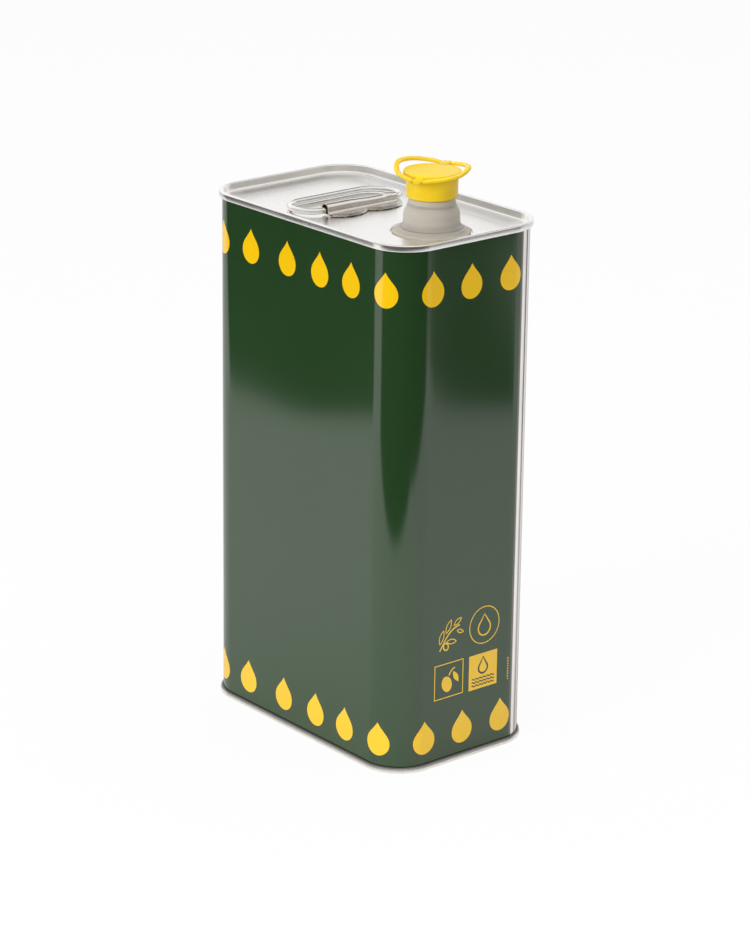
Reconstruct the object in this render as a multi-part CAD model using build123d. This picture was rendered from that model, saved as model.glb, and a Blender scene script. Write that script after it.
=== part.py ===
from build123d import *
import math
import os

# Tin: a rounded rectangle of tinplate. X runs along the long side, Z up from the floor.
tin_length = 170.0
tin_depth = 104.0
tin_height = 304.0
corner_radius = 22.0
body_sheet = 0.30
end_sheet = 0.36

# Double seams, where the edge of each end is folded round the flange of the body
seam_height = 3.4
seam_gap = 0.22
seam_turn_radius = 0.55
hook_turn_radius = 0.36
compound_clearance = 0.03
countersink = 5.5
panel_turn_radius = 0.90
panel_margin = 3.0

# Welded lap down one back corner of the body
weld_lap_width = 1.2
weld_lap_height = 0.20
weld_lap_sink = 0.10
weld_lap_angle = 28.0
weld_lap_clearance = 0.30

# Recess and collared hole in the top, where the spout snaps in
spout_inset = 35.9
recess_radius = 22.4
recess_depth = 1.6
recess_turn_radius = 0.50
recess_margin = 1.5
collar_radius = 17.2
collar_rise = 2.2
collar_lip = 1.0

# Soft plastic flange of the spout
flange_radius = 21.4
flange_wall = 1.0
flange_rim_rise = 0.40
flange_shoulder_rise = 0.80
flange_slope_width = 2.3
flange_slope_rise = 1.70
flange_crown_rise = 2.5
flange_cavity_drop = 0.30
barrel_wall = 0.9
barrel_clearance = 0.10
snap_bead = 0.50
snap_taper = 0.20
snap_length = 1.15
seat_clearance = 0.05

# Flexible sleeve between the flange and the neck
sleeve_wall = 0.8
sleeve_foot_radius = 16.5
sleeve_low_radius = 15.25
sleeve_high_radius = 15.0
sleeve_top_radius = 12.85
sleeve_foot_rise = 0.5
sleeve_flare_rise = 1.6
sleeve_shoulder_drop = 3.1
sleeve_lip_rise = 0.7
sleeve_height = 12.9
sleeve_foot_turn = 0.6
sleeve_flare_turn = 1.2
sleeve_shoulder_turn = 2.5
sleeve_lip_turn = 0.9

# Neck of the spout, with its outside thread
neck_bore_radius = 10.0
neck_root_radius = 11.2
neck_foot_radius = 13.25
neck_ledge_radius = 12.55
neck_ledge_height = 3.25
neck_threaded_height = 9.9
thread_depth = 0.8
thread_pitch = 4.0
thread_root_width = 1.6
thread_crest_width = 0.8
thread_overlap = 0.10
thread_clearance = 0.30
neck_thread_turns = 1.5
cap_thread_turns = 1.25
thread_start_rise = 1.4

# Screw cap, its loose foam liner and its two pull loops
cap_gap = 0.30
cap_foot_radius = 14.0
cap_head_radius = 14.2
cap_disc_radius = 14.8
cap_disc_thickness = 2.6
cap_rim_drop = 0.40
cap_edge_radius = 0.40
cap_foot_edge_radius = 1.2
cap_turn_at_rest = 25.5
liner_radius = 11.2
liner_thickness = 1.0
liner_gap = 0.30
loop_outer_radius = 20.9
loop_width = 2.8
loop_thickness = 2.0
loop_edge_radius = 0.60
loop_gap = 0.35
lug_width = 6.0
lug_root = 1.6
lug_sink = 0.50
loop_rise = 1.7
left_loop_lift = 11.5
right_loop_lift = 7.1

# Carrying handle: a ring of wire in a rolled sheet bracket that is welded to the top
handle_x = -12.0
handle_length = 73.0
handle_reach = 28.7
handle_near_radius = 11.2
handle_far_radius = 16.0
handle_slide = -1.2
wire_diameter = 3.4
wire_clearance = 0.08
handle_rest_gap = 0.30
bracket_length = 50.0
bracket_sheet = 0.50
bracket_layer_gap = 0.05
knuckle_size = 5.0
knuckle_turn_radius = 2.65
knuckle_foot_radius = 1.0
knuckle_foot_reach = 4.5
flange_reach = 7.5
lobe_reach = 12.0
lobe_count = 2
upper_lobe_inset = 0.6
weld_gap = 0.50
weld_radius = 2.0
welds_per_lobe = 2

# Places worked out from the sizes above. Seam levels are drops from the seam's outer face.
spout_x = tin_length / 2 - spout_inset
panel_top = tin_height - countersink
panel_drop = countersink + end_sheet / 2
body_mid = -body_sheet / 2
chuck_mid = -body_sheet - seam_gap - end_sheet / 2
end_hook_mid = seam_gap + end_sheet / 2
body_hook_mid = end_hook_mid + end_sheet / 2 + seam_gap + body_sheet / 2
seam_wall_mid = body_hook_mid + body_sheet / 2 + seam_gap + end_sheet / 2
outer_turn_drop = end_sheet / 2
body_turn_drop = end_sheet + seam_gap + body_sheet / 2
end_hook_tip_drop = body_turn_drop + body_sheet / 2 + seam_gap
low_turn_drop = seam_height - end_sheet / 2
body_hook_tip_drop = seam_height - end_sheet - seam_gap
film_thickness = seam_gap - 2 * compound_clearance
film_drop = end_sheet + seam_gap / 2

recess_floor = panel_top - recess_depth
hole_wall_mid = collar_radius + end_sheet / 2
collar_top = recess_floor + collar_rise
barrel_outer = collar_radius - barrel_clearance
barrel_inner = barrel_outer - barrel_wall
flange_top = panel_top + flange_crown_rise
sleeve_top = flange_top + sleeve_height
neck_foot = sleeve_top + seat_clearance
neck_ledge = neck_foot + neck_ledge_height
neck_top = neck_ledge + neck_threaded_height
neck_crest_radius = neck_root_radius + thread_depth
thread_start = neck_ledge + thread_start_rise
cap_foot = neck_ledge + cap_gap
liner_foot = neck_top + liner_gap
cap_ceiling = liner_foot + liner_thickness + liner_gap
cap_top = cap_ceiling + cap_disc_thickness
cap_bore_radius = neck_crest_radius + thread_clearance
cap_crest_radius = cap_bore_radius - thread_depth
loop_middle_radius = loop_outer_radius - loop_width / 2
loop_hinge_x = lug_width / 2 + loop_gap
loop_top = cap_top + loop_rise

wire_radius = wire_diameter / 2
bracket_foot = panel_top + weld_gap
wire_z = bracket_foot + bracket_sheet + wire_clearance + wire_radius
knuckle_span = knuckle_size + bracket_sheet
knuckle_z = bracket_foot + knuckle_span / 2 + bracket_sheet / 2
rail_span = handle_reach - wire_radius
handle_droop = math.degrees(math.asin((wire_z - wire_radius - panel_top - handle_rest_gap) / rail_span))


def shifted_path(points, radii, shift):
    """The same path moved sideways to its left, with its rounded corners kept concentric."""
    steps = [(Vector(*b) - Vector(*a)).normalized() for a, b in zip(points, points[1:])]
    sides = [Vector(-step.Y, step.X) for step in steps]
    moved = [Vector(*points[0]) + sides[0] * shift]
    moved_radii = []
    for index, radius in enumerate(radii):
        before, after = sides[index], sides[index + 1]
        mitre = (before + after) * (1 / (1 + before.dot(after)))
        moved.append(Vector(*points[index + 1]) + mitre * shift)
        left_turn = steps[index].cross(steps[index + 1]).Z > 0
        moved_radii.append(radius - shift if left_turn else radius + shift)
    moved.append(Vector(*points[-1]) + sides[-1] * shift)
    return FilletPolyline(*moved, radius=moved_radii)


def sheet_section(points, radii, thickness):
    """Face of a folded sheet whose middle line runs through the points."""
    left = shifted_path(points, radii, thickness / 2)
    right = shifted_path(points, radii, -thickness / 2)
    return make_face([left, right, Line(left @ 0, right @ 0), Line(left @ 1, right @ 1)])


def turned(section, x):
    """Turn a section, drawn as radius and height, about an upright axis."""
    return Pos(x, 0, 0) * revolve(Plane.XZ * section, Axis.Z)


def around_rectangle(section, length, width, corner):
    """Carry a section, drawn as distance out and height, round a rounded rectangle."""
    run_x = length / 2 - corner
    run_y = width / 2 - corner
    front = Plane(origin=(0, -width / 2, 0), x_dir=(0, -1, 0), z_dir=(-1, 0, 0))
    side = Plane(origin=(length / 2, 0, 0), x_dir=(1, 0, 0), z_dir=(0, -1, 0))
    front_run = extrude(front * section, run_x, dir=(1, 0, 0))
    side_run = extrude(side * section, run_y, dir=(0, -1, 0))
    corner_axis = Axis((run_x, -run_y, 0), (0, 0, 1))
    turn = revolve(Pos(run_x, 0, 0) * (front * section), corner_axis, 90)
    quarter = front_run + turn + side_run
    half = quarter + mirror(quarter, Plane.XZ)
    return half + mirror(half, Plane.YZ)


def end_blank():
    """An end with its seam's outer face at height zero and its panel below."""
    points = [
        (end_hook_mid, -end_hook_tip_drop),
        (end_hook_mid, -low_turn_drop),
        (seam_wall_mid, -low_turn_drop),
        (seam_wall_mid, -outer_turn_drop),
        (chuck_mid, -outer_turn_drop),
        (chuck_mid, -panel_drop),
        (-panel_margin, -panel_drop),
    ]
    radii = [hook_turn_radius] * 2 + [seam_turn_radius] * 2 + [panel_turn_radius]
    rim = around_rectangle(sheet_section(points, radii, end_sheet), tin_length, tin_depth, corner_radius)
    panel = RectangleRounded(
        tin_length - 2 * panel_margin, tin_depth - 2 * panel_margin, corner_radius - panel_margin
    )
    return rim + extrude(Pos(0, 0, -countersink - end_sheet) * panel, end_sheet)


def bottom_end():
    """The bottom end is the same pressing, turned over."""
    return mirror(end_blank(), Plane.XY)


def top_end():
    """The top end has a round recess with a collared and lipped hole for the spout."""
    recess_wall_mid = recess_radius + end_sheet / 2
    edge = recess_wall_mid + recess_margin
    floor_mid = recess_floor - end_sheet / 2
    lip_mid = collar_top - end_sheet / 2
    points = [
        (edge, panel_top - end_sheet / 2),
        (recess_wall_mid, panel_top - end_sheet / 2),
        (recess_wall_mid, floor_mid),
        (hole_wall_mid, floor_mid),
        (hole_wall_mid, lip_mid),
        (hole_wall_mid + collar_lip, lip_mid),
    ]
    section = sheet_section(points, [recess_turn_radius] * 4, end_sheet)
    blank = Pos(0, 0, tin_height) * end_blank()
    opening = Pos(spout_x, 0, panel_top - end_sheet / 2) * Cylinder(edge, 2 * end_sheet)
    return blank - opening + turned(section, spout_x)


def body_shell():
    """Body wall with a flange at each end, folded over into the body hooks."""
    points = [
        (body_hook_mid, tin_height - body_hook_tip_drop),
        (body_hook_mid, tin_height - body_turn_drop),
        (body_mid, tin_height - body_turn_drop),
        (body_mid, body_turn_drop),
        (body_hook_mid, body_turn_drop),
        (body_hook_mid, body_hook_tip_drop),
    ]
    section = sheet_section(points, [hook_turn_radius] * 4, body_sheet)
    wall = around_rectangle(section, tin_length, tin_depth, corner_radius)
    lap_foot = seam_height + weld_lap_clearance
    lap = Box(
        weld_lap_sink + weld_lap_height,
        weld_lap_width,
        tin_height - 2 * lap_foot,
        align=(Align.MIN, Align.CENTER, Align.MIN),
    )
    corner = Pos(tin_length / 2 - corner_radius, tin_depth / 2 - corner_radius, lap_foot)
    return wall + corner * Rot(0, 0, weld_lap_angle) * Pos(corner_radius - weld_lap_sink, 0, 0) * lap


def seam_compound():
    """Sealing film between the turn of an end and the body hook, seam face at height zero."""
    points = [
        (-body_sheet - seam_gap / 2, -body_hook_tip_drop),
        (-body_sheet - seam_gap / 2, -film_drop),
        (body_hook_mid + body_sheet / 2 + seam_gap / 2, -film_drop),
        (body_hook_mid + body_sheet / 2 + seam_gap / 2, -body_hook_tip_drop),
    ]
    section = sheet_section(points, [hook_turn_radius] * 2, film_thickness)
    return around_rectangle(section, tin_length, tin_depth, corner_radius)


def spout_flange():
    """Ring that snaps over the collar of the hole and hooks under it."""
    rim_foot = recess_floor + seat_clearance
    lip_clear = collar_top + seat_clearance
    cavity_radius = hole_wall_mid + collar_lip + end_sheet / 2
    snap_top = recess_floor - end_sheet - seat_clearance
    snap_foot = snap_top - snap_length
    slope_start = flange_radius - flange_wall
    outline = Polyline(
        (barrel_inner, flange_top),
        (sleeve_foot_radius + sleeve_wall / 2, flange_top),
        (slope_start - flange_slope_width, panel_top + flange_slope_rise),
        (slope_start, panel_top + flange_shoulder_rise),
        (flange_radius, panel_top + flange_rim_rise),
        (flange_radius, rim_foot),
        (slope_start, rim_foot),
        (slope_start, panel_top - flange_cavity_drop),
        (cavity_radius, lip_clear),
        (barrel_outer, lip_clear),
        (barrel_outer, snap_top),
        (barrel_outer + snap_bead, snap_top),
        (barrel_outer + snap_bead - snap_taper, snap_foot),
        (barrel_inner, snap_foot),
        close=True,
    )
    return turned(make_face(outline), spout_x)


def spout_sleeve():
    """Thin sleeve that folds down into the tin when the spout is pushed in."""
    flare_height = flange_top + sleeve_foot_rise + sleeve_flare_rise
    points = [
        (sleeve_foot_radius, flange_top),
        (sleeve_foot_radius, flange_top + sleeve_foot_rise),
        (sleeve_low_radius, flare_height),
        (sleeve_high_radius, sleeve_top - sleeve_shoulder_drop),
        (sleeve_top_radius, sleeve_top - sleeve_lip_rise),
        (sleeve_top_radius, sleeve_top),
    ]
    radii = [sleeve_foot_turn, sleeve_flare_turn, sleeve_shoulder_turn, sleeve_lip_turn]
    return turned(sheet_section(points, radii, sleeve_wall), spout_x)


def thread_ridge(root_radius, outward, start, turns):
    """Helical ridge that stands in or out from a round wall."""
    way = 1 if outward else -1
    helix = Pos(0, 0, start) * Helix(thread_pitch, thread_pitch * turns, root_radius)
    ridge = Polyline(
        (-thread_overlap * way, -thread_root_width / 2),
        (thread_depth * way, -thread_crest_width / 2),
        (thread_depth * way, thread_crest_width / 2),
        (-thread_overlap * way, thread_root_width / 2),
        close=True,
    )
    place = Plane(origin=helix @ 0, x_dir=(1, 0, 0), z_dir=helix % 0)
    return sweep(place * make_face(ridge), path=helix, is_frenet=True)


def spout_neck():
    """Threaded neck that carries the cap, with the pouring bore through it."""
    outline = Polyline(
        (neck_bore_radius, neck_foot),
        (neck_foot_radius, neck_foot),
        (neck_ledge_radius, neck_ledge),
        (neck_root_radius, neck_ledge),
        (neck_root_radius, neck_top),
        (neck_bore_radius, neck_top),
        close=True,
    )
    thread = thread_ridge(neck_root_radius, True, thread_start, neck_thread_turns)
    return turned(make_face(outline), spout_x) + Pos(spout_x, 0, 0) * thread


def cap_liner():
    """Loose foam disc that seals the neck and stays still while the cap turns."""
    disc = Cylinder(liner_radius, liner_thickness, align=(Align.CENTER, Align.CENTER, Align.MIN))
    return Pos(spout_x, 0, liner_foot) * disc


def cap_place():
    """Where the cap's own frame stands, turned as the cap is screwed home."""
    return Pos(spout_x, 0, 0) * Rot(0, 0, cap_turn_at_rest)


def cap_shell():
    """Skirt, top disc, inside thread and the two raised lugs that carry the pull loops."""
    corners = [
        (0, cap_ceiling),
        (cap_bore_radius, cap_ceiling),
        (cap_bore_radius, cap_foot),
        (cap_foot_radius, cap_foot),
        (cap_head_radius, cap_ceiling - cap_rim_drop),
        (cap_disc_radius, cap_ceiling - cap_rim_drop),
        (cap_disc_radius, cap_top),
        (0, cap_top),
    ]
    radii = [0, 0, 0, cap_foot_edge_radius, 0, 0, cap_edge_radius, 0]
    shell = turned(make_face(FilletPolyline(*corners, radius=radii, close=True)), 0)
    lug_start = cap_disc_radius - lug_root
    lug = Box(
        lug_width,
        loop_outer_radius - lug_start,
        loop_rise + lug_sink,
        align=(Align.CENTER, Align.MIN, Align.MAX),
    )
    lug = fillet(lug.edges().filter_by(Axis.Z).group_by(Axis.Y)[-1], loop_edge_radius)
    lug = Pos(0, lug_start, loop_top) * lug
    thread_low = thread_start + thread_pitch / 2
    thread = thread_ridge(cap_bore_radius, False, thread_low, cap_thread_turns)
    return cap_place() * (shell + lug + mirror(lug, Plane.XZ)) + Pos(spout_x, 0, 0) * thread


def pull_loop(way, lift):
    """Half ring round the cap's disc, lifted about the end of its lugs."""
    middle = Pos(loop_middle_radius, loop_top - loop_thickness / 2)
    ring = turned(middle * RectangleRounded(loop_width, loop_thickness, loop_edge_radius), 0)
    keep = Box(
        2 * loop_outer_radius,
        2 * (loop_outer_radius + loop_width),
        2 * loop_thickness,
        align=(Align.MIN, Align.CENTER, Align.CENTER),
    )
    half = ring & Pos(loop_hinge_x, 0, loop_top) * keep
    hinge = Pos(loop_hinge_x, 0, loop_top)
    lifted = hinge * Rot(0, -lift, 0) * hinge.inverse() * half
    return cap_place() * Rot(0, 0, 0 if way > 0 else 180) * lifted


def handle_bail():
    """Closed ring of wire, its near rail in the knuckle and its far rail almost on the top."""
    half = handle_length / 2 - wire_radius
    corners = [(0, -half), (0, half), (-rail_span, half), (-rail_span, -half)]
    near = handle_near_radius - wire_radius
    far = handle_far_radius - wire_radius
    path = FilletPolyline(*corners, radius=[near, near, far, far], close=True)
    start = Plane(origin=path @ 0, z_dir=path % 0)
    laid = Rot(0, -handle_droop, 0) * sweep(start * Circle(wire_radius), path=path)
    return Pos(handle_x, handle_slide, wire_z) * laid


def lobe_outline(inset):
    """Flange of the bracket, drawn from above, with one round lobe beside the next."""
    width = bracket_length / lobe_count
    root = flange_reach - inset
    sides = []
    for index in range(lobe_count):
        low = -bracket_length / 2 + width * index + inset
        high = low + width - 2 * inset
        sides.append(Line((root, low), (root, high)))
        sides.append(ThreePointArc((root, low), (lobe_reach - inset, (low + high) / 2), (root, high)))
    lobes = [make_face(sides[2 * index : 2 * index + 2]) for index in range(lobe_count)]
    start = knuckle_foot_reach
    plate = Pos((start + root) / 2, 0) * Rectangle(root - start, bracket_length - 2 * inset)
    return plate + lobes


def handle_bracket():
    """Sheet rolled round the wire, its two layers laid flat as the lobed flange."""
    half = knuckle_span / 2
    upper_mid = -half + bracket_sheet + bracket_layer_gap
    points = [
        (knuckle_foot_reach, -half),
        (-half, -half),
        (-half, half),
        (half, half),
        (half, upper_mid),
        (knuckle_foot_reach, upper_mid),
    ]
    radii = [knuckle_turn_radius] * 3 + [knuckle_foot_radius]
    section = Plane.XZ * sheet_section(points, radii, bracket_sheet)
    knuckle = extrude(Pos(0, bracket_length / 2, 0) * section, bracket_length)
    lower = extrude(Pos(0, 0, -half - bracket_sheet / 2) * lobe_outline(0), bracket_sheet)
    upper = extrude(Pos(0, 0, upper_mid - bracket_sheet / 2) * lobe_outline(upper_lobe_inset), bracket_sheet)
    return Pos(handle_x, 0, knuckle_z) * (knuckle + lower + upper)


def bracket_welds():
    """Weld nuggets that hold the lobes just off the top."""
    width = bracket_length / lobe_count
    nuggets = []
    for lobe in range(lobe_count):
        for weld in range(welds_per_lobe):
            y = -bracket_length / 2 + width * (lobe + (weld + 1) / (welds_per_lobe + 1))
            nugget = Cylinder(weld_radius, weld_gap, align=(Align.CENTER, Align.CENTER, Align.MIN))
            nuggets.append(Pos(handle_x + flange_reach, y, panel_top) * nugget)
    return Compound(nuggets)


nodes = {
    "body_shell": body_shell(),
    "top_end": top_end(),
    "bottom_end": bottom_end(),
    "top_seam_compound": Pos(0, 0, tin_height) * seam_compound(),
    "bottom_seam_compound": mirror(seam_compound(), Plane.XY),
    "spout_flange": spout_flange(),
    "spout_sleeve": spout_sleeve(),
    "spout_neck": spout_neck(),
    "cap_liner": cap_liner(),
    "cap_shell": cap_shell(),
    "cap_pull_left": pull_loop(-1, left_loop_lift),
    "cap_pull_right": pull_loop(1, right_loop_lift),
    "handle_bail": handle_bail(),
    "handle_bracket": handle_bracket(),
    "bracket_spot_welds": bracket_welds(),
}

os.makedirs("parts", exist_ok=True)
for name, shape in nodes.items():
    export_step(shape, f"parts/{name}.step")
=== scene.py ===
import math

import bpy
from bpy.props import FloatProperty, FloatVectorProperty, IntProperty, PointerProperty
from mathutils import Matrix, Vector


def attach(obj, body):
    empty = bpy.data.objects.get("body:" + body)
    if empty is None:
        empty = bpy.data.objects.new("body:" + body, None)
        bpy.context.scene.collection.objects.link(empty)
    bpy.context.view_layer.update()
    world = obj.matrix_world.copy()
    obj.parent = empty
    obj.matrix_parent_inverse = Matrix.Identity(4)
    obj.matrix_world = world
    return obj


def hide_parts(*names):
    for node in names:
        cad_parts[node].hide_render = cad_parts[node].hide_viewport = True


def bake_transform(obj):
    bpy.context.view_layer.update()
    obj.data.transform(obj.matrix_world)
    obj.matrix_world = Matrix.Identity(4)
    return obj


bl_info = {
    "name": "Oil tin with pull-out spout",
    "version": (1, 0, 0),
    "blender": (4, 5, 0),
    "location": "3D View > Sidebar > Oil tin",
    "description": "Dresses the oil tin's parts and sets its studio",
    "category": "Object",
}

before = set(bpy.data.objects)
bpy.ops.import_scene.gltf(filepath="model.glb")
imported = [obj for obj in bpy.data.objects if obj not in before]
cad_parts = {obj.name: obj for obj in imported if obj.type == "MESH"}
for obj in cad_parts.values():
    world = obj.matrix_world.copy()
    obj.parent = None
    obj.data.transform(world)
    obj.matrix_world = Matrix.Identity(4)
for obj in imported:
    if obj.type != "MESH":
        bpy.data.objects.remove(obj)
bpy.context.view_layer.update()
mm = 0.001

# Sizes that the solids have too
end_sheet = 0.36 * mm
collar_radius, collar_rise = 17.2 * mm, 2.2 * mm
weld_gap = 0.5 * mm
weld_turn = math.radians(28)
thread_pitch = 4 * mm
thread_start = 320.6 * mm
loop_hinge = 3.35 * mm
loop_lifts = {"left": math.radians(11.5), "right": math.radians(7.1)}
wire_bends = (11.2 * mm, 16.0 * mm)

# The photo's size and its camera, in pixels
photo_width, photo_height = 750, 930
photo_focal, photo_centre = 3302.23, (251.83, 456.73)


def metres(name, about, millimetres):
    """A length that a user can change."""
    return FloatProperty(name=name, description=about, default=millimetres * mm, unit="LENGTH")


def turn_of(name, about, degrees):
    """An angle that a user can change."""
    return FloatProperty(name=name, description=about, default=math.radians(degrees), unit="ROTATION")


def watts(name, about, level):
    """A lamp's power that a user can change."""
    return FloatProperty(name=name, description=about, default=level, unit="POWER")


def colour_of(name, about, *levels):
    """A colour that a user can change."""
    return FloatVectorProperty(
        name=name, description=about, subtype="COLOR", size=4, default=(*levels, 1), min=0, max=1
    )


class TinSizes(bpy.types.PropertyGroup):
    """Sizes of the body, its ends and their seams."""

    length: metres("Length", "Body along X", 170)
    depth: metres("Depth", "Body along Y", 104)
    height: metres("Height", "Over both seams", 304)
    corner: metres("Corner radius", "Upright corners of the body", 22)
    sheet: metres("Body sheet", "Thickness of the body's sheet", 0.3)
    seam_height: metres("Seam height", "Height of each double seam", 3.4)
    seam_reach: metres("Seam reach", "How far a seam stands out", 1.68)
    skirt: metres("Top seam skirt", "How much lower the top seam's edge hangs", 0.45)
    fall: metres("Panel fall", "How much the top's panel sinks from its edge", 1.4)
    chuck_inset: metres("Chuck wall inset", "From the body's face to the inner wall of an end", 0.88)
    countersink: metres("Countersink", "Depth of an end's panel", 5.5)


class PrintSizes(bpy.types.PropertyGroup):
    """Sizes of what is printed on the body, and of its bare strip."""

    drop_height: metres("Drop height", "Tip to foot", 19.9)
    drop_radius: metres("Drop radius", "Round foot of a drop", 7.42)
    upper_row: metres("Upper row", "Foot of the upper drops", 268.35)
    lower_row: metres("Lower row", "Foot of the lower drops", 9.1)
    ink: metres("Ink", "How far print stands off the body", 0.03)
    strip_start: metres("Strip start", "Bare strip, from the back corner's start", 3.9)
    strip_end: metres("Strip end", "Bare strip, from the back corner's start", 18.5)


class SpoutSizes(bpy.types.PropertyGroup):
    """Sizes of the plastic spout, its recess and its cap."""

    place: metres("Place", "Spout axis along X", 49.1)
    recess: metres("Recess radius", "Round recess in the top", 22.4)
    recess_depth: metres("Recess depth", "Depth of the recess", 1.6)
    flange: metres("Flange radius", "Outer edge of the flange", 21.4)
    flange_top: metres("Flange top", "Where the sleeve starts", 301)
    sleeve_top: metres("Sleeve top", "Where the neck starts", 313.9)
    wall: metres("Wall", "Sleeve wall", 0.8)
    cap_foot: metres("Cap foot", "Lower edge of the cap", 317.5)
    cap_top: metres("Cap top", "Upper face of the cap", 332.3)
    cap_radius: metres("Cap radius", "Disc of the cap", 15.9)
    cap_turn: turn_of("Cap turn", "How the cap stands at rest", 25.5)
    loop_radius: metres("Loop radius", "Middle line of the pull loops", 19.5)
    loop_top: metres("Loop top", "Upper face of the loops at their hinges", 333)


class HandleSizes(bpy.types.PropertyGroup):
    """Sizes of the wire handle and its bracket."""

    place: metres("Place", "Near rail along X", -12)
    slide: metres("Slide", "Ring along Y", -1.2)
    length: metres("Length", "Ring along Y", 73)
    span: metres("Span", "Between the rails", 27)
    wire: metres("Wire", "Wire diameter", 3.4)
    wire_height: metres("Wire height", "Near rail above the floor", 301.28)
    droop: turn_of("Droop", "Fall to the far rail", 1.655)
    bracket: metres("Bracket", "Bracket along Y", 50)
    sheet: metres("Sheet", "Bracket sheet", 0.5)
    roll: metres("Roll", "Middle line of the roll", 5.5)


class FinishColours(bpy.types.PropertyGroup):
    """Colours of the finishes."""

    lacquer: colour_of("Lacquer", "Green of the body", 0.0145, 0.0480, 0.0130)
    drops: colour_of("Drops", "Yellow print", 0.92, 0.56, 0.002)
    cap: colour_of("Cap", "Yellow plastic", 0.97, 0.67, 0.016)
    tinplate: colour_of("Tinplate", "Bright metal", 0.95, 0.94, 0.92)
    spout: colour_of("Spout", "Milky plastic", 0.62, 0.555, 0.455)


class StudioLevels(bpy.types.PropertyGroup):
    """Lamps, table and room."""

    key: watts("Key lamp", "Watts of the front lamp", 28)
    fill: watts("Fill lamp", "Watts of the right lamp", 7)
    top: watts("Top lamp", "Watts of the top lamp", 10)
    sky: FloatProperty(name="Sky", description="Level of the room's light", default=0.55, min=0, max=2)
    table: metres("Table reach", "Pale table in front of the tin", 420)
    floor: metres("Floor radius", "Floor round the tin", 3000)
    segments: IntProperty(name="Round steps", description="Segments of the floor", default=96, min=16)


def put(name, shape, finish=None, smooth=True, sharp_angle=None):
    """A mesh object at the origin, from vertices and faces."""
    verts, faces = shape
    mesh = bpy.data.meshes.new(name)
    mesh.from_pydata([tuple(v) for v in verts], [], faces)
    mesh.update()
    mesh.shade_smooth() if smooth else mesh.shade_flat()
    if sharp_angle:
        mesh.set_sharp_from_angle(angle=math.radians(sharp_angle))
    if finish:
        mesh.materials.append(finishes()[finish])
    piece = bpy.data.objects.new(name, mesh)
    bpy.context.scene.collection.objects.link(piece)
    return piece


def rounded(points, radii, steps=6):
    """A line through the points whose inner corners are rounded."""
    line = [Vector(points[0])]
    for before, here, after, radius in zip(points, points[1:], points[2:], radii):
        a, b, c = Vector(before), Vector(here), Vector(after)
        u, w = (a - b).normalized(), (c - b).normalized()
        angle = u.angle(w)
        if radius <= 0 or angle > math.pi - 1e-4:
            line.append(b)
            continue
        reach = radius / math.tan(angle / 2)
        centre = b + (u + w).normalized() * (radius / math.sin(angle / 2))
        start, end = b + u * reach - centre, b + w * reach - centre
        sweep = start.angle_signed(end)
        for k in range(steps + 1):
            turn = -sweep * k / steps
            x = start.x * math.cos(turn) - start.y * math.sin(turn)
            y = start.x * math.sin(turn) + start.y * math.cos(turn)
            line.append(centre + Vector((x, y)))
    line.append(Vector(points[-1]))
    return line


def finer(line, longest, closed=False):
    """The same line with its long runs divided."""
    points = []
    for a, b in zip(line, line[1:] + line[:1] if closed else line[1:]):
        steps = max(1, int((b - a).length / longest))
        points += [a + (b - a) * (k / steps) for k in range(steps)]
    return points if closed else points + [line[-1]]


def stations(size, corner_steps=48, long_steps=30, short_steps=18):
    """Places round the body with their outward directions, starting on the wide front face."""
    run_x, run_y = size.length / 2 - size.corner, size.depth / 2 - size.corner
    places = []
    for side in range(4):
        quarter = side * math.pi / 2
        steps, half, other = (short_steps, run_y, run_x) if side % 2 else (long_steps, run_x, run_y)
        out = other + size.corner
        forward = Vector((math.cos(quarter), math.sin(quarter)))
        outward = Vector((math.sin(quarter), -math.cos(quarter)))
        for k in range(steps):
            place = forward * (half * (2 * k / steps - 1)) + outward * out
            places.append((place, outward.copy()))
        centre = forward * half + outward * (out - size.corner)
        for k in range(corner_steps):
            turn = quarter + math.pi / 2 * k / corner_steps
            normal = Vector((math.sin(turn), -math.cos(turn)))
            places.append((centre + normal * size.corner, normal))
    return places


def along_outline(size, distance):
    """Place and outward direction at a distance along the body's outline, from the wide front's middle."""
    run_x, run_y, r = size.length / 2 - size.corner, size.depth / 2 - size.corner, size.corner
    arc = math.pi / 2 * r
    lengths = [run_x, arc, 2 * run_y, arc, 2 * run_x, arc, 2 * run_y, arc, run_x]
    centres = [(run_x, -run_y), (run_x, run_y), (-run_x, run_y), (-run_x, -run_y)]
    distance %= sum(lengths)
    for index, span in enumerate(lengths):
        if distance <= span or index == len(lengths) - 1:
            break
        distance -= span
    quarter = index // 2
    turn = quarter * math.pi / 2 + (distance / r if index % 2 else 0)
    normal = Vector((math.sin(turn), -math.cos(turn)))
    if index % 2:
        return Vector(centres[quarter]) + normal * r, normal
    forward = Vector((math.cos(turn), math.sin(turn)))
    return Vector([(0, -run_y), *centres][quarter]) + normal * r + forward * distance, normal


def rings_round(places, profile):
    """Rings round the body, one for each (out, height) of the profile."""
    return [[(p.x + n.x * out, p.y + n.y * out, z) for p, n in places] for out, z in profile]


def rings_turned(profile, centre, turns):
    """Rings round an upright axis at the given turns, one for each (radius, height)."""
    return [[(centre + r * math.cos(a), r * math.sin(a), z) for a in turns] for r, z in profile]


def even_turns(count):
    """Turns that divide a circle."""
    return [2 * math.pi * k / count for k in range(count)]


def loft(rings, closed=True, loop=False):
    """Vertices and faces that join each ring to the next."""
    count = len(rings[0])
    verts = [v for ring in rings for v in ring]
    faces = []
    for k in range(len(rings) if loop else len(rings) - 1):
        a, b = k * count, (k + 1) % len(rings) * count
        for i in range(count if closed else count - 1):
            j = (i + 1) % count
            faces.append((a + i, a + j, b + j, b + i))
    return verts, faces


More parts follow.
